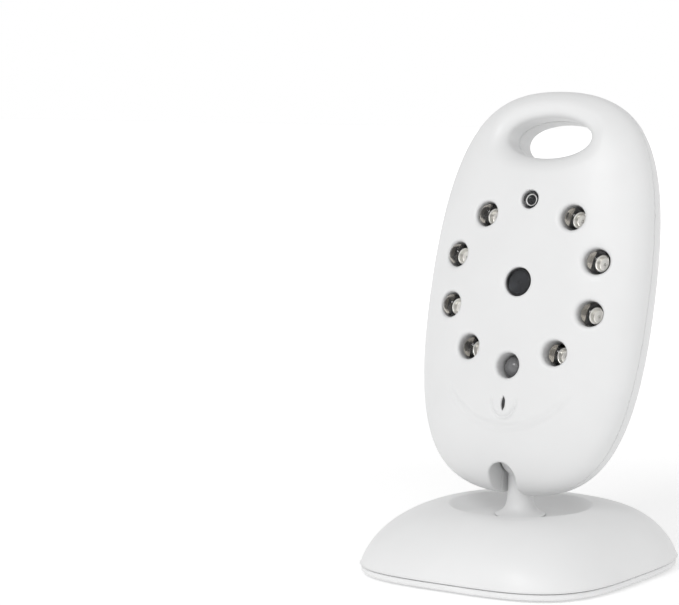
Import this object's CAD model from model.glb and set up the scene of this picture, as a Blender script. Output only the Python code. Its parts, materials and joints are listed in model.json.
"""A baby monitor camera: an egg-shaped head with a finger hole, on a ball-ended neck in a dome base.

Head shapes are built in the head's own axes, in millimetres: x across, d depth behind the middle
of the face, v up along the head. The base and neck are built in the part's axes, in millimetres.
"""

import json
import math

import bmesh
import bpy
import numpy as np
import openvdb
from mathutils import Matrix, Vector


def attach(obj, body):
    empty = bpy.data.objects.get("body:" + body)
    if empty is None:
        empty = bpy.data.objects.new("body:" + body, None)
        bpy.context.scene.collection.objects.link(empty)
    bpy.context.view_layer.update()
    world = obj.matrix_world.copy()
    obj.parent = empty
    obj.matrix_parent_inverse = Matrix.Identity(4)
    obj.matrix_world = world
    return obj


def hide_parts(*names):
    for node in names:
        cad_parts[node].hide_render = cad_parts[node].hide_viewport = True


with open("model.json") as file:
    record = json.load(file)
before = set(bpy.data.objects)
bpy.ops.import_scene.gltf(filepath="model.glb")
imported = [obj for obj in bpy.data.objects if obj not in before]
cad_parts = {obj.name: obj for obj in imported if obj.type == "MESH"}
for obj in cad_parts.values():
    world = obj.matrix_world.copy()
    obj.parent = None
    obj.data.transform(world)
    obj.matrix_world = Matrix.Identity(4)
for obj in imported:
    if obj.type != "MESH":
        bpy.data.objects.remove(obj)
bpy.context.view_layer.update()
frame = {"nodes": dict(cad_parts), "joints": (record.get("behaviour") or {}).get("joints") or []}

MM = 0.001
ON_AXIS = 1e-6  # a radius this small counts as none
BASE_COUNT = 256  # points round each ring of the base shell

# ------------------------------------------------------------------ the head's place
JOINTS = {joint["name"]: joint for joint in frame["joints"]}
_, PRESS_Y, PRESS_Z = JOINTS["pair_button_press"]["axis"]
TILT_COS, TILT_SIN = -PRESS_Y, PRESS_Z
BALL = np.array(JOINTS["head_tilt"]["pos_m"]) / MM
BALL_DEPTH, BALL_DOWN = 11.1, -35.9  # the ball's centre in head axes

# ------------------------------------------------------------------ head dimensions
# The outline's top, bottom and widest line, and the handles of its two curves on each side
TOP, BOTTOM, WIDEST, HALF_WIDTH = 43.2, -44.5, -1.8, 26.3
TOP_HANDLE, UPPER_HANDLE, LOWER_HANDLE, BOTTOM_HANDLE = 16.3, 38.3, 34.7, 17.8
# The parting line's depth, gap and edge radius, the back's bulge, and the shells' wall and grid
SEAM, BACK_DEPTH, WALL = 10.24, 9.0, 2.0
SEAM_GAP, SEAM_EDGE = 0.03, 0.06
SHELL_STEP, SHELL_DETAIL = 0.3, 0.002
# The face's lean and sag, and each shell's roundness as powers for its outline and its depth
FACE_TILT, FACE_SAG_X, FACE_SAG_V = 0.008, 0.005, 0.001
FRONT_EDGE, BACK_EDGE = (4.8, 3.2), (5.0, 2.6)
# The finger hole, then the ports in the face, their sleeves and the radius of each opening's lip
HOLE_V, HOLE_X, HOLE_HEIGHT, HOLE_FILLET = 32.25, 10.2, 4.65, 4.0
RING_RADIUS, RING_COUNT, SLEEVE, SLEEVE_BACK = 17.9, 10, 0.8, 8.6
PORT, SENSOR_PORT, LENS_PORT = 2.7, 2.0, 3.1
PORT_LIP, SENSOR_LIP, LENS_LIP, MIC_LIP, CUP_LIP, SLOT_LIP = 0.9, 0.45, 0.5, 0.2, 0.1, 0.4
# The depths of the lamps' and the sensor's tips and backs, and their radii
LED_TIP, LED_TIP_FALL, STATUS_TIP, SENSOR_TIP, LED_BACK = 0.55, 0.03, 2.0, -0.2, 9.9
LED_RADIUS, LED_FLANGE, SENSOR_RADIUS, SENSOR_FLANGE = 2.5, 2.85, 1.85, 1.95
# The microphone's slot, the smile line and the half oval under the slot
MIC_V, MIC_WIDTH, MIC_HEIGHT = -26.0, 0.45, 1.6
SMILE_V, SMILE_RADIUS, SMILE_WIDTH, SMILE_DEPTH = -13.4, 17.5, 0.7, 0.42
SMILE_REACH, SMILE_FADE = 0.95, 0.1
OVAL_V, OVAL_X, OVAL_HEIGHT, OVAL_SIZE, OVAL_WIDTH, OVAL_DEPTH = -25.4, 2.9, 3.6, 3.1, 0.3, 0.5
OVAL_TOP, OVAL_FADE, MARKS_BACK = -25.2, 0.7, 6.0
# The slot that the neck swings through, with its ends' angles from straight down, and the seat
SLOT, SLOT_FRONT, SLOT_BACK = 3.2, math.radians(50), math.radians(-29)
BALL_RADIUS, BALL_PLAY, CUP_X, CUP_TOP = 4.6, 0.12, 6.6, -29.9
# The openings in the back; a hole with three sizes has its half width, half height and corner
SPEAKER_V, SPEAKER_RING, SPEAKER_HOLE, SPEAKER_FLOOR, SPEAKER_LIP = 15.4, 3.4, 0.9, 14.0, 0.25
CONTROL_V, BUTTON_X, SWITCH_X, SWITCH_REST_X = -14.0, -8.5, 8.5, 7.25
BUTTON_HOLE, BUTTON_DISH, BUTTON_DISH_DEPTH, DISHED_FROM, CONTROL_LIP = 2.65, 3.6, 0.35, 15.0, 0.3
SWITCH_HOLE, SWITCH_FLOOR = (2.85, 1.6, 0.8), 15.0
SOCKET_V, SOCKET_HOLE, SOCKET_FLOOR, SOCKET_LIP = -24.5, (4.5, 2.0, 1.2), 12.0, 0.35
# The screw posts, the wells for the screws' heads and the bores for their shanks
POST, WELL, WELL_FLOOR, WELL_LIP, BORE, BORE_FLOOR, BORE_LIP = 3.1, 2.2, 13.5, 0.3, 1.2, 5.0, 0.1
HEAD_SCREWS = {
    "top_left": (-19.6, 14.4),
    "top_right": (19.6, 14.4),
    "bottom_left": (-16.2, -27.0),
    "bottom_right": (16.2, -27.0),
}

# ------------------------------------------------------------------ base dimensions
# The rounded square, the dish and the parting line, and the powers that shape the dome's side
BASE_X, BASE_Y, SQUARENESS = 29.3, 31.1, 3.55
DISH, RIM_Z, FLOOR_Z, SEAM_Z, SEAM_STEP = 15.6, 14.0, 11.6, 1.9, 0.08
BOWL_X, BOWL_RADIUS, SHOULDER = 10.67, 5.0, 0.9
DOME_FOOT, DOME_SIDE_POWER, DOME_TOP_POWER = 1.0, 2 / 2.2, 2 / 1.55
# The cover under the base, with the wells for its feet and screws
PLATE_INSET, PLATE_BOTTOM, PLATE_EDGE, PLATE_LIP = 0.35, 0.5, 0.6, 0.15
FOOT_X, FOOT_Y, FOOT_WELL, FOOT_WELL_TOP = 19.0, 11.0, 3.9, 1.0
BASE_SCREW_X, BASE_SCREW_Y, BASE_SCREW_WELL, BASE_WELL_TOP, PLATE_HOLE = 19.0, 20.5, 2.3, 1.6, 5.2
CORNERS = {"front_left": (-1, -1), "front_right": (1, -1), "rear_left": (-1, 1),
           "rear_right": (1, 1)}


# ------------------------------------------------------------------ distance fields
class Field:
    """The sample points of a block, at which distances to a surface are worked out."""

    def __init__(self, low, high, step):
        spans = [np.arange(a, b + step, step, dtype=np.float32) for a, b in zip(low, high)]
        self.low, self.step = np.array(low), step
        self.x = spans[0][:, None, None]
        self.y = spans[1][None, :, None]
        self.z = spans[2][None, None, :]


def to_distance(values, step):
    """An implicit function turned into a distance, to first order."""
    slopes = np.gradient(values, step)
    steepness = np.sqrt(sum(s * s for s in slopes))
    return values / np.maximum(steepness, 1e-3)


def both(a, b, radius):
    """The space inside both, with its outer edge rounded."""
    corner = np.hypot(np.maximum(radius + a, 0), np.maximum(radius + b, 0))
    return np.minimum(-radius, np.maximum(a, b)) + corner


def carve(a, b, radius):
    """a with b cut out of it and the lips rounded."""
    return both(a, -b, radius)


def slab(values, low, high):
    """Distance to the stretch between two values."""
    return np.maximum(low - values, values - high)


def behind(section, d, floor_depth):
    """A cross-section carried backwards from a floor."""
    return np.maximum(section, floor_depth - d)


def nearest(x, v, places):
    """Distance to the nearest of several places."""
    distance = np.full(np.broadcast_shapes(x.shape, v.shape), 1e3, np.float32)
    for px, pv in places:
        distance = np.minimum(distance, np.hypot(x - px, v - pv))
    return distance


def rounded_box(a, b, half_a, half_b, radius):
    """Distance to a rectangle with rounded corners."""
    p, q = np.abs(a) - half_a + radius, np.abs(b) - half_b + radius
    outside = np.hypot(np.maximum(p, 0), np.maximum(q, 0))
    return outside + np.minimum(np.maximum(p, q), 0) - radius


def sample(values, places):
    """Values of a grid at fractional places, one corner of each cell at a time."""
    base = np.clip(np.floor(places).astype(int), 0, np.array(values.shape) - 2)
    part = places - base
    total = np.zeros(len(places))
    for corner in np.ndindex(2, 2, 2):
        weight = np.prod(np.where(corner, part, 1 - part), axis=1)
        index = base + corner
        total += weight * values[index[:, 0], index[:, 1], index[:, 2]]
    return total


def skin_of(field, distance, adaptivity=0.001):
    """The zero surface of a distance field: points, faces and outward normals."""
    grid = openvdb.FloatGrid(background=3.0)
    clipped = np.clip(distance, -3, 3).astype(np.float32)
    grid.copyFromArray(clipped)
    places, triangles, quads = grid.convertToPolygons(0.0, adaptivity)
    normals = np.stack([sample(s, places) for s in np.gradient(clipped)], axis=1)
    normals /= np.maximum(np.linalg.norm(normals, axis=1, keepdims=True), 1e-9)
    quads = quads.astype(int)
    across = places[quads[:, 2]] - places[quads[:, 0]]
    along = places[quads[:, 3]] - places[quads[:, 1]]
    facing = np.einsum("ij,ij->i", np.cross(across, along), normals[quads[:, 0]])
    turn = -1 if facing.sum() < 0 else 1
    faces = triangles[:, ::turn].tolist() + quads[:, ::turn].tolist()
    return field.low + places * field.step, faces, normals


# ------------------------------------------------------------------ meshes
def in_head(points):
    """Points in head axes, moved to the part's axes, in millimetres."""
    points = np.asarray(points, float)
    d, v = points[:, 1] - BALL_DEPTH, points[:, 2] - BALL_DOWN
    y = BALL[1] + d * TILT_COS + v * TILT_SIN
    z = BALL[2] - d * TILT_SIN + v * TILT_COS
    return np.stack([BALL[0] + points[:, 0], y, z], axis=1)


def turned_to_head(normals):
    y = normals[:, 1] * TILT_COS + normals[:, 2] * TILT_SIN
    z = normals[:, 2] * TILT_COS - normals[:, 1] * TILT_SIN
    return np.stack([normals[:, 0], y, z], axis=1)


def face_out(mesh):
    """Turns every face of a closed mesh outwards."""
    work = bmesh.new()
    work.from_mesh(mesh)
    bmesh.ops.recalc_face_normals(work, faces=work.faces)
    work.to_mesh(mesh)
    work.free()


def add_mesh(name, points, faces, materials, normals=None, sharp_above=None):
    mesh = bpy.data.meshes.new(name)
    mesh.from_pydata((np.asarray(points) * MM).tolist(), [], faces)
    if normals is None:
        face_out(mesh)
    mesh.update()
    mesh.shade_smooth()
    if normals is not None:
        mesh.normals_split_custom_set_from_vertices(normals.tolist())
    elif sharp_above is not None:
        mesh.set_sharp_from_angle(angle=math.radians(sharp_above))
    obj = bpy.data.objects.new(name, mesh)
    bpy.context.scene.collection.objects.link(obj)
    for material in materials if isinstance(materials, list) else [materials]:
        mesh.materials.append(material)
    return obj


def settle(obj, body, slot, *nodes):
    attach(obj, body)
    if nodes:
        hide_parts(*nodes)
    return obj


def head_field_mesh(name, field, distance, material, adaptivity=0.001):
    points, faces, normals = skin_of(field, distance, adaptivity)
    return add_mesh(name, in_head(points), faces, material, turned_to_head(normals))


def field_mesh(name, field, distance, material, adaptivity=0.001):
    points, faces, normals = skin_of(field, distance, adaptivity)
    return add_mesh(name, points, faces, material, normals)


def ring_faces(rows, count, closed):
    """Faces between rings of count points. A closed run joins the last ring to the first."""
    faces = []
    for row in range(rows if closed else rows - 1):
        here, there = row * count, ((row + 1) % rows) * count
        for i in range(count):
            j = (i + 1) % count
            faces.append((here + i, here + j, there + j, there + i))
    return faces


def round_ring(radius, height, count):
    """Points round a circle about the upright axis."""
    angles = np.arange(count) * 2 * math.pi / count
    ring = [radius * np.cos(angles), radius * np.sin(angles), np.full(count, height)]
    return np.stack(ring, axis=1)


def turned(profile, count):
    """Points and faces turned about an axis; the profile's rows are (radius, height) pairs."""
    rings = [round_ring(radius, height, count) for radius, height in profile if radius > ON_AXIS]
    closed = profile[0] == profile[-1]
    if closed:
        rings.pop()
    faces = ring_faces(len(rings), count, closed)
    points = np.concatenate(rings)
    if profile[0][0] <= ON_AXIS:
        points = np.vstack([points, [0, 0, profile[0][1]]])
        tip = len(points) - 1
        faces += [(tip, (i + 1) % count, i) for i in range(count)]
    if profile[-1][0] <= ON_AXIS:
        points = np.vstack([points, [0, 0, profile[-1][1]]])
        tip, last = len(points) - 1, (len(rings) - 1) * count
        faces += [(last + i, last + (i + 1) % count, tip) for i in range(count)]
    return points, faces


def lathe_in_head(name, profile, x, v, material, count=96, sharp_above=35):
    """A piece turned about the depth axis, from a profile of (radius, depth) pairs."""
    points, faces = turned(profile, count)
    moved = np.stack([points[:, 0] + x, points[:, 2], points[:, 1] + v], axis=1)
    return add_mesh(name, in_head(moved), faces, material, sharp_above=sharp_above)


def lathe(name, profile, x, y, material, count=96, sharp_above=35):
    """A piece turned about the upright axis, from a profile of (radius, height) pairs."""
    points, faces = turned(profile, count)
    return add_mesh(name, points + [x, y, 0], faces, material, sharp_above=sharp_above)


def arc(centre, radius, start, end, steps):
    """Points round part of a circle, with angles in degrees from the first axis."""
    angles = np.radians(np.linspace(start, end, steps))
    return [(centre[0] + radius * math.cos(a), centre[1] + radius * math.sin(a)) for a in angles]


# ------------------------------------------------------------------ materials
def new_material(name):
    material = bpy.data.materials.new(name)
    material.use_nodes = True
    return material, material.node_tree, material.node_tree.nodes["Principled BSDF"]


def noise(tree, scale, detail=3.0, stretch=None):
    """A noise texture in the piece's own coordinates. The scale is in features per metre."""
    place = tree.nodes.new("ShaderNodeTexCoord")
    source = place.outputs["Object"]
    if stretch:
        mapping = tree.nodes.new("ShaderNodeMapping")
        mapping.inputs["Scale"].default_value = stretch
        tree.links.new(source, mapping.inputs["Vector"])
        source = mapping.outputs["Vector"]
    texture = tree.nodes.new("ShaderNodeTexNoise")
    texture.inputs["Scale"].default_value = scale
    texture.inputs["Detail"].default_value = detail
    tree.links.new(source, texture.inputs["Vector"])
    return texture.outputs["Fac"]


def colour_between(tree, factor, dark, light, socket):
    ramp = tree.nodes.new("ShaderNodeValToRGB")
    ramp.color_ramp.elements[0].position, ramp.color_ramp.elements[1].position = 0.35, 0.65
    ramp.color_ramp.elements[0].color = (*dark, 1)
    ramp.color_ramp.elements[1].color = (*light, 1)
    tree.links.new(factor, ramp.inputs["Fac"])
    tree.links.new(ramp.outputs["Color"], socket)


def range_between(tree, factor, low, high, socket):
    spread = tree.nodes.new("ShaderNodeMapRange")
    spread.clamp = False
    spread.inputs["From Min"].default_value, spread.inputs["From Max"].default_value = 0.3, 0.7
    spread.inputs["To Min"].default_value, spread.inputs["To Max"].default_value = low, high
    tree.links.new(factor, spread.inputs["Value"])
    tree.links.new(spread.outputs["Result"], socket)


def bump(tree, height, strength, distance, socket):
    node = tree.nodes.new("ShaderNodeBump")
    node.inputs["Strength"].default_value = strength
    node.inputs["Distance"].default_value = distance
    tree.links.new(height, node.inputs["Height"])
    tree.links.new(node.outputs["Normal"], socket)


def finish(name, dark, light, rough, patch=60, grain=2600, grain_depth=4e-6, grain_strength=0.25,
           **constants):
    """A moulded or milled surface: faint mottling, uneven gloss and a fine grain."""
    material, tree, shader = new_material(name)
    colour_between(tree, noise(tree, patch), dark, light, shader.inputs["Base Color"])
    range_between(tree, noise(tree, patch * 6), rough[0], rough[1], shader.inputs["Roughness"])
    bump(tree, noise(tree, grain, 4.0), grain_strength, grain_depth, shader.inputs["Normal"])
    for socket, value in constants.items():
        shader.inputs[socket.replace("_", " ")].default_value = value
    return material


def brushed(name, dark, light, rough, stretch):
    """A rolled or drawn metal with fine lines along one way."""
    material, tree, shader = new_material(name)
    lines = noise(tree, 900, 4.0, stretch)
    colour_between(tree, lines, dark, light, shader.inputs["Base Color"])
    range_between(tree, lines, rough[0], rough[1], shader.inputs["Roughness"])
    bump(tree, lines, 0.2, 3e-6, shader.inputs["Normal"])
    shader.inputs["Metallic"].default_value = 1.0
    return material


def clear(name, tint, rough, ior=1.5):
    """A clear moulding: faint flow lines in its surface and a slightly uneven polish."""
    material, tree, shader = new_material(name)
    range_between(tree, noise(tree, 500), rough[0], rough[1], shader.inputs["Roughness"])
    bump(tree, noise(tree, 300), 0.05, 1e-5, shader.inputs["Normal"])
    colour_between(tree, noise(tree, 200), tuple(0.97 * c for c in tint), tint,
                   shader.inputs["Base Color"])
    shader.inputs["Transmission Weight"].default_value = 1.0
    shader.inputs["IOR"].default_value = ior
    return material


SHELL = finish("shell_white", (0.690, 0.692, 0.693), (0.710, 0.712, 0.713), (0.34, 0.40))
BASE = finish("base_white", (0.755, 0.757, 0.758), (0.775, 0.777, 0.778), (0.36, 0.42))
TRIM = finish("trim_white", (0.80, 0.803, 0.805), (0.82, 0.823, 0.825), (0.34, 0.42))
BLACK = finish("black_plastic", (0.012, 0.012, 0.013), (0.020, 0.020, 0.022), (0.28, 0.36))
BARREL = finish("barrel_black", (0.010, 0.010, 0.011), (0.016, 0.016, 0.017), (0.20, 0.26),
                Specular_IOR_Level=0.35)
SENSOR = clear("sensor_smoke", (0.10, 0.10, 0.11), (0.02, 0.04))
GLASS = clear("lens_glass", (0.80, 0.82, 0.86), (0.01, 0.03), 1.33)
LAMP = clear("lamp_clear", (0.99, 0.985, 0.975), (0.01, 0.03))
SENSOR_DOME = clear("sensor_clear", (0.86, 0.86, 0.88), (0.01, 0.03), 1.22)
SMOKE = finish("lamp_smoke", (0.125, 0.125, 0.128), (0.155, 0.155, 0.159), (0.06, 0.08),
               grain_strength=0.05)
CUP = finish("reflector_silver", (0.78, 0.77, 0.74), (0.88, 0.87, 0.84), (0.30, 0.38),
             patch=400, Metallic=1.0)
CAN = finish("reflector_can", (0.16, 0.148, 0.128), (0.28, 0.262, 0.235), (0.08, 0.14),
             patch=400, Metallic=1.0)
DIE = finish("die", (0.46, 0.45, 0.43), (0.56, 0.55, 0.52), (0.25, 0.35), patch=900)
BOARD = finish("circuit_board", (0.006, 0.060, 0.022), (0.012, 0.095, 0.036), (0.30, 0.42),
               patch=220, grain=900, grain_depth=1e-5)
CHIP = finish("chip", (0.012, 0.012, 0.013), (0.022, 0.022, 0.024), (0.40, 0.50))
STEEL = brushed("steel", (0.46, 0.46, 0.47), (0.62, 0.62, 0.63), (0.22, 0.34), (1, 1, 12))
IRON = finish("iron", (0.10, 0.10, 0.105), (0.17, 0.17, 0.175), (0.45, 0.62), patch=300,
              grain=1200, grain_depth=2e-5, Metallic=0.9)
RUBBER = finish("rubber", (0.018, 0.018, 0.019), (0.030, 0.030, 0.031), (0.75, 0.90), patch=300,
                grain=1600, grain_depth=2e-5)
FOAM = finish("foam", (0.020, 0.020, 0.021), (0.045, 0.045, 0.046), (0.88, 0.97), patch=900,
              grain=1500, grain_depth=8e-5, grain_strength=0.8)


# ------------------------------------------------------------------ head shells
def bezier(points, t):
    """Points along a cubic curve with two end points and two handles."""
    p0, p1, p2, p3 = (np.array(p)[:, None] for p in points)
    return (1 - t) ** 3 * p0 + 3 * (1 - t) ** 2 * t * p1 + 3 * (1 - t) * t ** 2 * p2 + t ** 3 * p3


def egg_table():
    """The egg outline's radius about its widest line's middle, by angle from straight up."""
    t = np.linspace(0, 1, 600)
    upper = [(0, TOP), (TOP_HANDLE, TOP), (HALF_WIDTH, WIDEST + UPPER_HANDLE), (HALF_WIDTH, WIDEST)]
    lower = [(HALF_WIDTH, WIDEST), (HALF_WIDTH, WIDEST - LOWER_HANDLE), (BOTTOM_HANDLE, BOTTOM),
             (0, BOTTOM)]
    x, v = np.concatenate([bezier(upper, t), bezier(lower, t)], axis=1)
    return np.arctan2(x, v - WIDEST), np.hypot(x, v - WIDEST)


EGG_ANGLES, EGG_RADII = egg_table()


def egg_fraction(x, v):
    """How far out a point is, as a fraction of the egg outline."""
    angle = np.arctan2(np.abs(x), v - WIDEST)
    reach = np.interp(angle, EGG_ANGLES, EGG_RADII)
    return np.maximum(np.hypot(x, v - WIDEST) / reach, 1e-4).astype(np.float32)


def head_skin(field, front):
    """Distance to the head's outer surface, on the front or the rear side of the seam."""
    x, d, v = field.x, field.y, field.z
    edge, power = FRONT_EDGE if front else BACK_EDGE
    face = FACE_TILT * v + FACE_SAG_X * x * x + FACE_SAG_V * v * v
    depth = (SEAM - d) / (SEAM - face) if front else (d - SEAM) / BACK_DEPTH
    total = egg_fraction(x, v) ** edge + np.maximum(depth, 0) ** power
    even = (edge + power) / 2  # evens out the slope, so the distance is good further in
    return to_distance((total ** (1 / even) - 1).astype(np.float32), field.step)


def finger_hole(field):
    """Distance to the hanging hole's oval outline, right through the head."""
    x, w = field.x, field.z - HOLE_V
    reach = np.hypot(x / HOLE_X, w / HOLE_HEIGHT)
    slope = np.hypot(x / HOLE_X ** 2, w / HOLE_HEIGHT ** 2)
    return (reach - 1) * reach / np.maximum(slope, 1e-3)


def neck_slot(field):
    """Distance to the slot that the neck swings through."""
    x, d, v = field.x, field.y - BALL_DEPTH, field.z - BALL_DOWN
    angle = np.arctan2(-d, -v)
    inside = (angle >= SLOT_BACK) & (angle <= SLOT_FRONT)
    to_end = np.full(np.broadcast_shapes(x.shape, d.shape, v.shape), 1e3, np.float32)
    for end in (SLOT_FRONT, SLOT_BACK):
        along = -d * math.sin(end) - v * math.cos(end)
        off = np.hypot(d + along * math.sin(end), v + along * math.cos(end))
        off = np.where(along < 0, np.hypot(d, v), off)
        to_end = np.minimum(to_end, np.hypot(x, off))
    return np.where(inside, np.abs(x), to_end) - SLOT


def ring_places():
    """The places round the lamp ring, the top one first, as (x, v) pairs."""
    turn = 2 * math.pi / RING_COUNT
    return [(RING_RADIUS * math.sin(i * turn), RING_RADIUS * math.cos(i * turn))
            for i in range(RING_COUNT)]


def groove(distance, width, depth):
    """How much a soft groove lowers a surface at a distance from its middle line."""
    return depth * np.exp(-((distance / width) ** 2))


def fade_out(values, end, spread):
    """One well before the end and nothing well past it, with a soft change between."""
    return 0.5 - 0.5 * np.tanh((values - end) / spread)


def face_marks(field):
    """How deep the face's soft marks are: the smile line, and half an oval under the microphone."""
    x, v = field.x, field.z
    from_bottom = np.abs(np.arctan2(x, -(v - SMILE_V)))
    smile = groove(np.hypot(x, v - SMILE_V) - SMILE_RADIUS, SMILE_WIDTH, SMILE_DEPTH)
    outline = np.hypot(x / OVAL_X, (v - OVAL_V) / OVAL_HEIGHT) - 1
    oval = groove(outline * OVAL_SIZE, OVAL_WIDTH, OVAL_DEPTH)
    smile = smile * fade_out(from_bottom, SMILE_REACH, SMILE_FADE)
    return (smile + oval * fade_out(v, OVAL_TOP, OVAL_FADE)) * (field.y < MARKS_BACK)


def shell_field(front_depth, back_depth):
    """Sample points over the head's whole outline, between two depths."""
    return Field((-27.6, front_depth, -46), (27.6, back_depth, 44.8), SHELL_STEP)


def with_neck_seat(field, shell, skin):
    """The shell with the thick seat that the neck's ball turns in, and the slot it swings through."""
    x, d, v = field.x, field.y, field.z
    block = np.maximum(np.maximum(np.abs(x) - CUP_X, v - CUP_TOP), skin)
    ball = np.sqrt(x * x + (d - BALL_DEPTH) ** 2 + (v - BALL_DOWN) ** 2) - BALL_RADIUS - BALL_PLAY
    return carve(carve(np.minimum(shell, block), ball, CUP_LIP), neck_slot(field), SLOT_LIP)


def mic_slot(field):
    """Distance to the microphone's pointed upright slot, which two arcs bound."""
    arc_radius = (MIC_HEIGHT ** 2 + MIC_WIDTH ** 2) / (2 * MIC_WIDTH)
    x, v = field.x, field.z - MIC_V
    return np.hypot(np.abs(x) + arc_radius - MIC_WIDTH, v) - arc_radius


def front_shell():
    """The front moulding: the face with its ports, the lamps' sleeves and half of the neck's seat."""
    field = shell_field(-1.8, 11.4)
    x, d, v = field.x, field.y, field.z
    skin = head_skin(field, True) + face_marks(field)
    skin = carve(skin, finger_hole(field), HOLE_FILLET)
    shell = np.maximum(skin, -(skin + WALL))
    ports = nearest(x, v, ring_places()[1:]) - PORT
    sensor = np.hypot(x, v - RING_RADIUS) - SENSOR_PORT
    tubes = np.maximum(np.minimum(ports, sensor) - SLEEVE, d - SLEEVE_BACK)
    shell = np.minimum(shell, np.maximum(tubes, skin))
    shell = carve(shell, ports, PORT_LIP)
    shell = carve(shell, sensor, SENSOR_LIP)
    shell = carve(shell, np.hypot(x, v) - LENS_PORT, LENS_LIP)
    shell = carve(shell, mic_slot(field), MIC_LIP)
    shell = with_neck_seat(field, shell, skin)
    shell = both(shell, d - SEAM + SEAM_GAP / 2, SEAM_EDGE)
    obj = head_field_mesh("front_shell_moulding", field, shell, SHELL, SHELL_DETAIL)
    settle(obj, "head", "shell_white", "front_shell", "ball_cup_front")


def microphone_gauze():
    """Dark acoustic gauze that fills the slot to just under the face."""
    play, sunk, back, edge = 0.02, 0.35, 3.5, 0.08
    field = Field((-0.8, -1.8, MIC_V - 2.0), (0.8, 4.2, MIC_V + 2.0), 0.06)
    gauze = both(mic_slot(field) + play, head_skin(field, True) + sunk, edge)
    gauze = both(gauze, field.y - back, edge)
    obj = head_field_mesh("microphone_gauze", field, gauze, FOAM, 0.004)
    settle(obj, "head", "rubber")


def rear_shell():
    """The rear moulding: screw posts, the controls' openings, the speaker's holes and the seat's half."""
    field = shell_field(9.2, 20.4)
    x, d, v = field.x, field.y, field.z
    skin = carve(head_skin(field, False), finger_hole(field), HOLE_FILLET)
    shell = np.maximum(skin, -(skin + WALL))
    screws = nearest(x, v, HEAD_SCREWS.values())
    shell = np.minimum(shell, np.maximum(screws - POST, skin))
    shell = carve(shell, behind(screws - WELL, d, WELL_FLOOR), WELL_LIP)
    shell = carve(shell, behind(screws - BORE, d, BORE_FLOOR), BORE_LIP)
    button = np.hypot(x - BUTTON_X, v - CONTROL_V)
    shell = shell + groove(button, BUTTON_DISH, BUTTON_DISH_DEPTH) * (d > DISHED_FROM)
    shell = carve(shell, button - BUTTON_HOLE, CONTROL_LIP)
    switch = rounded_box(x - SWITCH_X, v - CONTROL_V, *SWITCH_HOLE)
    shell = carve(shell, behind(switch, d, SWITCH_FLOOR), CONTROL_LIP)
    socket = rounded_box(x, v - SOCKET_V, *SOCKET_HOLE)
    shell = carve(shell, behind(socket, d, SOCKET_FLOOR), SOCKET_LIP)
    sound = nearest(x, v - SPEAKER_V, [(0, 0)] + arc((0, 0), SPEAKER_RING, 0, 300, 6))
    shell = carve(shell, behind(sound - SPEAKER_HOLE, d, SPEAKER_FLOOR), SPEAKER_LIP)
    shell = with_neck_seat(field, shell, skin)
    shell = both(shell, SEAM + SEAM_GAP / 2 - d, SEAM_EDGE)
    obj = head_field_mesh("rear_shell_moulding", field, shell, SHELL, SHELL_DETAIL)
    settle(obj, "head", "shell_white", "rear_shell", "ball_cup_rear")


# ------------------------------------------------------------------ lamps, sensor and lens
def dome_profile(tip, radius, flange, back):
    """A bullet-shaped lamp body from its back to its tip, with a flange and a rounded nose."""
    edge, front = 0.1, back - 1.0
    body = [(0.0, back), (flange - edge, back), (flange, back - edge), (flange, front + edge),
            (flange - edge, front), (radius, front), (radius, (back + tip + radius) / 2)]
    nose = arc((0, tip + radius), radius, 0, -90, 22)
    return body + nose[:-1] + [(0.0, tip)]


def infrared_lamp(node, x, v):
    """A clear bullet lamp over a metal can, with a reflector cup, its post and a die inside."""
    tip = LED_TIP + LED_TIP_FALL * (RING_RADIUS - v)
    body = dome_profile(tip, LED_RADIUS, LED_FLANGE, LED_BACK)
    dome = lathe_in_head(f"{node}_dome", body, x, v, LAMP, 64, 60)
    settle(dome, "head", "lamp_clear", node)
    rim, front = tip + 3.6, tip + 2.7
    cup = [(0.0, rim + 0.3), (0.62, rim + 0.3), (0.76, rim + 0.08)]
    cup += arc((0.88, rim), 0.1, 180, 360, 9)
    cup += [(0.94, rim + 0.2), (0.86, rim + 0.4), (0.0, rim + 0.4)]
    silver = lathe_in_head(f"{node}_cup", cup, x, v, CUP, 48, 40)
    settle(silver, "head", "lamp_clear")
    post = [(0.0, rim + 0.42), (0.84, rim + 0.42), (0.9, rim + 0.5), (0.85, rim + 1.6),
            (0.7, rim + 4.4), (0.6, rim + 4.5), (0.0, rim + 4.5)]
    leg = lathe_in_head(f"{node}_post", post, x, v, CAN, 48, 40)
    settle(leg, "head", "lamp_clear")
    can = [(0.0, 9.1), (0.95, 9.1), (1.0, rim + 1.5), (1.35, rim + 0.5), (1.42, rim + 0.42),
           (1.6, rim + 0.4), (1.7, rim + 0.3), (2.2, front + 0.1), (2.3, front),
           (2.4, front + 0.05), (2.4, 9.3), (0.0, 9.3)]
    metal = lathe_in_head(f"{node}_can", can, x, v, CAN, 48, 20)
    settle(metal, "head", "lamp_clear")
    die = [(0.0, rim + 0.2), (0.12, rim + 0.2), (0.15, rim + 0.23), (0.16, rim + 0.32),
           (0.0, rim + 0.32)]
    settle(lathe_in_head(f"{node}_die", die, x, v, DIE, 12, 40), "head", "chip")


def infrared_lamps():
    """A lamp at every place of the ring but its highest and its lowest."""
    places = [place for i, place in enumerate(ring_places()) if i not in (0, RING_COUNT // 2)]
    for number, (x, v) in enumerate(places, 1):
        infrared_lamp(f"ir_led_{number}", x, v)


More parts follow.
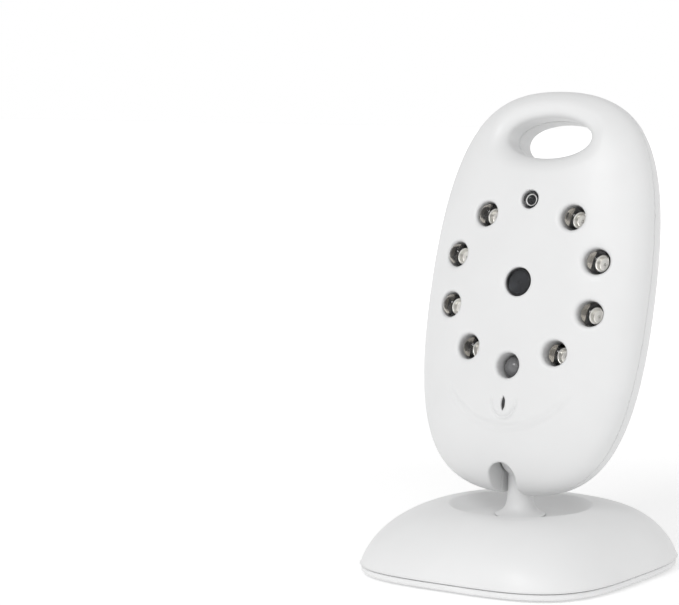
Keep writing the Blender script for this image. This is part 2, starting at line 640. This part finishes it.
def daylight_sensor():
    """A clear dome over a black body, with a thin bright ring round its dark window."""
    v = RING_RADIUS
    body = dome_profile(SENSOR_TIP, SENSOR_RADIUS, SENSOR_FLANGE, LED_BACK)
    dome = lathe_in_head("daylight_sensor_dome", body, 0, v, SENSOR_DOME, 64, 60)
    settle(dome, "head", "sensor_black", "daylight_sensor")
    face = SENSOR_TIP + 1.9
    ring = arc((1.0, face), 0.13, 0, 360, 17)
    window = lathe_in_head("daylight_sensor_ring", ring[:-1] + ring[:1], 0, v, CUP, 48, 60)
    settle(window, "head", "sensor_black")
    core = [(0.0, face + 0.1), (1.0, face + 0.1), (1.62, face + 0.05), (1.7, face - 0.2),
            (1.76, face - 0.2), (1.76, 9.0), (0.0, 9.0)]
    settle(lathe_in_head("daylight_sensor_core", core, 0, v, BARREL, 48, 40), "head",
           "sensor_black")


def status_lamp():
    """A smoked lamp body at the ring's lowest place."""
    body = dome_profile(STATUS_TIP, LED_RADIUS, LED_FLANGE, LED_BACK)
    dome = lathe_in_head("status_lamp_dome", body, 0, -RING_RADIUS, SMOKE, 64, 60)
    settle(dome, "head", "lamp_smoke", "status_lamp")


def lens():
    """The black nose with its fine rings, and the flush glass over the pupil."""
    nose, front, ring_step, ring_depth = 1.3, 0.62, 0.24, 0.05
    face = [(0.3, 2.2), (0.32, 1.45), (0.42, nose)]
    for radius in np.arange(0.5, 2.45, ring_step):
        top = nose - ring_depth
        face += [(radius, nose), (radius + 0.07, top), (radius + 0.14, top), (radius + 0.2, 1.31)]
    face += [(2.52, nose), (2.55, 1.2), (2.56, front)]
    rim = arc((2.72, front), 0.14, 180, 360, 12)
    sides = [(2.9, 0.75), (2.9, 3.1), (3.0, 3.2), (5.5, 3.2), (5.6, 3.3), (5.6, 10.5),
             (5.5, 10.6), (3.5, 10.6), (3.4, 10.5), (3.4, 4.2), (1.4, 4.2), (1.4, 2.2), (0.3, 2.2)]
    barrel = lathe_in_head("lens_barrel_nose", face + rim + sides, 0, 0, BARREL, 128, 40)
    settle(barrel, "head", "black_plastic", "lens_barrel")
    glass = [(0.0, front)] + [(r, front + 0.02 * r * r) for r in np.linspace(0.15, 2.45, 20)]
    glass += [(2.52, 0.8), (2.52, 1.02), (0.0, 1.02)]
    settle(lathe_in_head("front_lens_glass", glass, 0, 0, GLASS, 96, 60), "head", "lens_glass",
           "front_lens")
    pupil = [(0.0, 1.5)] + [(r, 1.5 + 1.2 * r * r) for r in np.linspace(0.05, 0.28, 8)]
    pupil += [(0.29, 2.0), (0.0, 2.0)]
    settle(lathe_in_head("lens_pupil", pupil, 0, 0, SENSOR, 48, 50), "head", "lens_glass")


# ------------------------------------------------------------------ rear controls and screws
def screw_field(radius, low, high):
    """A round screw head in a small block, with a cross recess."""
    reach = radius + 0.3
    field = Field((-reach, -reach, low - 0.3), (reach, reach, high + 0.3), 0.07)
    x, y, z = field.x, field.y, field.z
    head = both(np.hypot(x, y) - radius, slab(z, low, high), 0.25)
    arm, half_width, corner = 1.05, 0.2, 0.1
    cross = np.minimum(rounded_box(x, y, arm, half_width, corner),
                       rounded_box(x, y, half_width, arm, corner))
    taper = (high - z) * 0.55
    recess = np.maximum(cross + 0.35 * taper, high - 0.75 - z)
    return field, carve(head, recess, 0.06)


def head_screws():
    """The four screws that hold the rear shell, facing backwards."""
    field, head = screw_field(1.85, 13.8, 15.0)
    points, faces, normals = skin_of(field, head, 0.002)
    for where, (x, v) in HEAD_SCREWS.items():
        moved = np.stack([points[:, 0] + x, points[:, 2], points[:, 1] + v], axis=1)
        facing = np.stack([normals[:, 0], normals[:, 2], normals[:, 1]], axis=1)
        mirrored = [face[::-1] for face in faces]
        obj = add_mesh(f"head_screw_{where}_head", in_head(moved), mirrored, STEEL,
                       turned_to_head(facing))
        settle(obj, "head", "steel", f"head_screw_{where}")


def rubber_foot(where, x, y):
    """A round pad with a thin groove round its underside."""
    pad = [(0.0, 0.0), (2.2, 0.0), (2.3, 0.12), (2.5, 0.12), (2.6, 0.0), (3.2, 0.0)]
    pad += arc((3.2, 0.25), 0.25, -80, 0, 6) + [(3.5, 0.6), (3.4, 0.7), (0.0, 0.7)]
    foot = lathe(f"rubber_foot_{where}_pad", pad, x, y, RUBBER, 64, 40)
    settle(foot, "base", "rubber", f"rubber_foot_{where}")


def base_screws_and_feet():
    """The screws and feet under the base, one of each at every corner."""
    field, head = screw_field(1.75, 0.7, 1.3)
    points, faces, normals = skin_of(field, head, 0.002)
    upside_down = [1, -1, -1]
    for where, (side, end) in CORNERS.items():
        moved = points * upside_down + [side * BASE_SCREW_X, end * BASE_SCREW_Y, 2.0]
        obj = add_mesh(f"base_screw_{where}_head", moved, faces, STEEL, normals * upside_down)
        settle(obj, "base", "steel", f"base_screw_{where}")
        rubber_foot(where, side * FOOT_X, end * FOOT_Y)


def pair_button():
    """A round cap with a dished face, a soft edge and a flange inside the shell."""
    face = [(0.0, 16.6), (3.2, 16.6), (3.2, 17.0), (2.4, 17.0), (2.4, 19.1)]
    face += arc((2.1, 19.1), 0.3, 0, 90, 8)
    face += [(1.9, 19.38), (1.5, 19.26), (0.9, 19.19), (0.0, 19.17)]
    obj = lathe_in_head("pair_button_cap", face, BUTTON_X, CONTROL_V, TRIM, 96, 35)
    settle(obj, "pair_button", "trim_white", "pair_button")


def power_switch():
    """The sliding knob, with three grooves for a fingertip."""
    field = Field((5.4, 16.2, -15.9), (9.1, 20.0, -12.1), 0.06)
    x, d, v = field.x - SWITCH_REST_X, field.y, field.z - CONTROL_V
    knob = both(rounded_box(x, v, 1.3, 1.3, 0.35), slab(d, 16.6, 19.6), 0.2)
    for offset in (-0.6, 0.0, 0.6):
        finger_groove = np.hypot(x - offset, d - 19.68) - 0.2
        knob = carve(knob, finger_groove, 0.04)
    obj = head_field_mesh("power_switch_knob", field, knob, BLACK, 0.002)
    settle(obj, "power_switch", "black_plastic", "power_switch")


def power_socket():
    """The socket's steel shell, and the tongue inside it."""
    field = Field((-4.6, 12.2, -26.6), (4.6, 18.6, -22.4), 0.08)
    x, d, v = field.x, field.y, field.z - SOCKET_V
    body = both(rounded_box(x, v, 4.2, 1.7, 0.9), slab(d, 12.6, 18.2), 0.12)
    mouth = behind(rounded_box(x, v, 3.8, 1.3, 0.65), d, 13.4)
    body = carve(body, mouth, 0.1)
    shell = head_field_mesh("power_socket_shell", field, body, STEEL, 0.002)
    settle(shell, "head", "steel", "power_socket")
    tongue = both(rounded_box(x, v, 2.6, 0.32, 0.12), slab(d, 13.3, 17.4), 0.1)
    tongue_obj = head_field_mesh("power_socket_tongue", field, tongue, BLACK, 0.002)
    settle(tongue_obj, "head", "black_plastic")


# ------------------------------------------------------------------ neck and base
def neck():
    """The neck: a stub in the base, a flared foot, a thin post and the ball, turned in one piece."""
    foot = [(0.0, 5.0), (2.35, 5.0), (2.4, 5.05), (2.4, 11.57), (2.45, 11.62), (5.25, 11.62)]
    foot += arc((5.25, 11.77), 0.15, -90, 30, 8)
    for z in np.linspace(11.96, 19.0, 44):
        rise = z - 11.92
        foot.append((2.6 + 1.95 * math.exp(-rise / 0.8) + 0.85 * math.exp(-rise / 2.2), z))
    start = math.asin(2.62 / BALL_RADIUS)
    foot += [(2.62, 19.6), (2.62, 20.4)]
    foot += [(BALL_RADIUS * math.sin(a), BALL[2] - BALL_RADIUS * math.cos(a))
             for a in np.linspace(start + 0.05, math.pi - 0.02, 30)]
    foot.append((0.0, BALL[2] + BALL_RADIUS))
    obj = lathe("neck_post_turning", foot, 0, 0, BASE, 128, 50)
    settle(obj, "neck", "base_white", "neck_post")


def base_ring(inset, blend, z):
    """A ring between the dish's circle and the base's rounded square, shrunk by an inset."""
    circle = round_ring(1.0, z, BASE_COUNT)
    c, s = np.abs(circle[:, 0]), np.abs(circle[:, 1])
    square = (c / (BASE_X - inset)) ** SQUARENESS + (s / (BASE_Y - inset)) ** SQUARENESS
    radius = DISH + (square ** (-1 / SQUARENESS) - DISH) * blend
    return np.stack([radius * circle[:, 0], radius * circle[:, 1], circle[:, 2]], axis=1)


def dome_rings(inset, low_z, steps):
    """Rings up the base's dome, or up its inner face, that lie above a height."""
    rings = []
    for angle in np.linspace(0, math.pi / 2, steps):
        spread = math.cos(angle) ** DOME_SIDE_POWER if angle < math.pi / 2 - 1e-6 else 0.0
        z = DOME_FOOT + (RIM_Z - DOME_FOOT) * math.sin(angle) ** DOME_TOP_POWER
        if z - inset >= low_z:
            rings.append(base_ring(inset, spread, z - inset))
    return rings


def base_shell():
    """The dome and its dish, the collar that the neck turns in, and the inner face."""
    lip, ceiling = SEAM_Z + SEAM_STEP, FLOOR_Z - WALL
    rings = [base_ring(0.32, 1, lip), base_ring(0.12, 1, lip + 0.06), base_ring(0.03, 1, lip + 0.2)]
    rings += dome_rings(0, lip + 0.3, 90)
    dish = arc((DISH, RIM_Z - SHOULDER), SHOULDER, 96, 132, 10)
    dish += arc((BOWL_X, FLOOR_Z + BOWL_RADIUS), BOWL_RADIUS, -48, -90, 22)
    dish += [(9.5, FLOOR_Z), (8.0, FLOOR_Z), (7.0, FLOOR_Z), (6.3, FLOOR_Z), (5.1, FLOOR_Z)]
    collar = [(5.0, FLOOR_Z - 0.1), (2.8, FLOOR_Z - 0.1), (2.65, FLOOR_Z - 0.3), (2.65, 7.6),
              (5.0, 7.4), (5.2, 9.3)]
    under = [(14.2, ceiling), (15.4, ceiling + 0.5), (15.9, 11.7)]
    rings += [round_ring(radius, z, BASE_COUNT) for radius, z in dish + collar + under]
    rings += dome_rings(WALL, lip + 0.1, 40)[::-1][1:]
    rings += [base_ring(WALL, 1, lip + 0.05), base_ring(WALL - 0.2, 1, lip)]
    points = np.concatenate(rings)
    faces = ring_faces(len(rings), BASE_COUNT, True)
    obj = add_mesh("base_shell_moulding", points, faces, BASE, sharp_above=50)
    settle(obj, "base", "base_white", "base_shell")


def base_plate():
    """The flat cover under the base, with wells for the feet and screws and a hole under the neck."""
    field = Field((-29.9, -31.7, 0.1), (29.9, 31.7, 2.3), 0.2)
    x, y, z = field.x, field.y, field.z
    a, b = BASE_X - PLATE_INSET, BASE_Y - PLATE_INSET
    outline = (np.abs(x / a) ** SQUARENESS + np.abs(y / b) ** SQUARENESS) ** (1 / SQUARENESS) - 1
    flat = to_distance(outline[:, :, 0], field.step)[:, :, None]
    plate = both(flat, PLATE_BOTTOM - z, PLATE_EDGE)
    plate = both(plate, z - SEAM_Z + SEAM_STEP, PLATE_LIP)
    feet = np.hypot(np.abs(x) - FOOT_X, np.abs(y) - FOOT_Y)
    screws = np.hypot(np.abs(x) - BASE_SCREW_X, np.abs(y) - BASE_SCREW_Y)
    plate = carve(plate, np.maximum(feet - FOOT_WELL, z - FOOT_WELL_TOP), PLATE_LIP)
    plate = carve(plate, np.maximum(screws - BASE_SCREW_WELL, z - BASE_WELL_TOP), PLATE_LIP)
    plate = carve(plate, screws - BORE, BORE_LIP)
    plate = carve(plate, np.hypot(x, y) - PLATE_HOLE, PLATE_LIP)
    obj = field_mesh("base_plate_moulding", field, plate, BASE)
    settle(obj, "base", "base_white", "base_plate")


# ------------------------------------------------------------------ carried-over CAD nodes
CARRIED = {
    "rear_lens_group": GLASS, "lens_holder": BLACK, "image_sensor": CHIP, "led_board": BOARD,
    "main_board": BOARD, "microphone": STEEL, "microphone_seal": FOAM, "speaker": IRON,
    "antenna": BOARD, "board_connector": BLACK, "pair_switch": STEEL, "power_switch_body": STEEL,
    "swivel_washer": STEEL, "swivel_screw": STEEL, "wave_spring": STEEL, "ballast_weight": IRON,
}


def carry_over():
    """Gives the CAD pieces that are kept as they are their materials."""
    for node, material in CARRIED.items():
        mesh = frame["nodes"][node].data
        mesh.materials.clear()
        mesh.materials.append(material)


# ------------------------------------------------------------------ studio
def studio():
    """A white horizon under a dimmer sky, with a small soft key light and a wide fill."""
    world = bpy.data.worlds.new("studio")
    bpy.context.scene.world = world
    world.use_nodes = True
    tree = world.node_tree
    place = tree.nodes.new("ShaderNodeTexCoord")
    split = tree.nodes.new("ShaderNodeSeparateXYZ")
    ramp = tree.nodes.new("ShaderNodeValToRGB")
    tree.links.new(place.outputs["Generated"], split.inputs["Vector"])
    tree.links.new(split.outputs["Z"], ramp.inputs["Fac"])
    tree.links.new(ramp.outputs["Color"], tree.nodes["Background"].inputs["Color"])
    ramp.color_ramp.elements[0].color = (1.0, 1.0, 1.0, 1)
    ramp.color_ramp.elements[0].position = 0.05
    ramp.color_ramp.elements[1].color = (0.66, 0.66, 0.66, 1)
    ramp.color_ramp.elements[1].position = 0.45

    def area(name, place, size, watts, aim=(0, 0, 0.05)):
        light = bpy.data.lights.new(name, "AREA")
        light.shape, light.size, light.energy = "DISK", size, watts
        obj = bpy.data.objects.new(name, light)
        obj.location = place
        obj.rotation_euler = (Vector(aim) - Vector(place)).to_track_quat("-Z", "Y").to_euler()
        bpy.context.scene.collection.objects.link(obj)

    area("key", (0.0, -1.0, 0.85), 0.5, 3.6)
    area("fill", (0.7, -1.0, 0.75), 0.8, 2.0)


def floor():
    points = [(-3000, -3000, 0), (3000, -3000, 0), (3000, 3000, 0), (-3000, 3000, 0)]
    material = finish("floor_white", (0.90, 0.90, 0.90), (0.92, 0.92, 0.92), (0.6, 0.7), patch=3,
                      grain=200, Specular_IOR_Level=0.2, Emission_Color=(1.0, 1.0, 1.0, 1.0))
    tree = material.node_tree
    place = tree.nodes.new("ShaderNodeTexCoord")
    reach = tree.nodes.new("ShaderNodeVectorMath")
    reach.operation = "LENGTH"
    glow = tree.nodes.new("ShaderNodeMapRange")
    glow.inputs["From Min"].default_value, glow.inputs["From Max"].default_value = 0.12, 0.6
    glow.inputs["To Min"].default_value, glow.inputs["To Max"].default_value = 0.25, 0.6
    tree.links.new(place.outputs["Object"], reach.inputs[0])
    tree.links.new(reach.outputs["Value"], glow.inputs["Value"])
    tree.links.new(glow.outputs["Result"], tree.nodes["Principled BSDF"].inputs["Emission Strength"])
    add_mesh("floor", points, [(0, 1, 2, 3)], material)


def camera():
    data = bpy.data.cameras.new("view")
    data.sensor_width, data.lens = 36.0, 124.83
    data.clip_start, data.clip_end = 0.01, 20.0
    obj = bpy.data.objects.new("view", data)
    obj.location = Vector((255.4, -429.9, 107.55)) * MM
    obj.rotation_euler = (math.radians(90 - 5.752), 0, math.radians(35.167))
    bpy.context.scene.collection.objects.link(obj)
    bpy.context.scene.camera = obj


scene = bpy.context.scene
scene.view_settings.view_transform = "Standard"
scene.view_settings.look = "None"

camera()
studio()
floor()
front_shell()
microphone_gauze()
rear_shell()
infrared_lamps()
daylight_sensor()
status_lamp()
lens()
head_screws()
base_screws_and_feet()
pair_button()
power_switch()
power_socket()
neck()
base_shell()
base_plate()
carry_over()
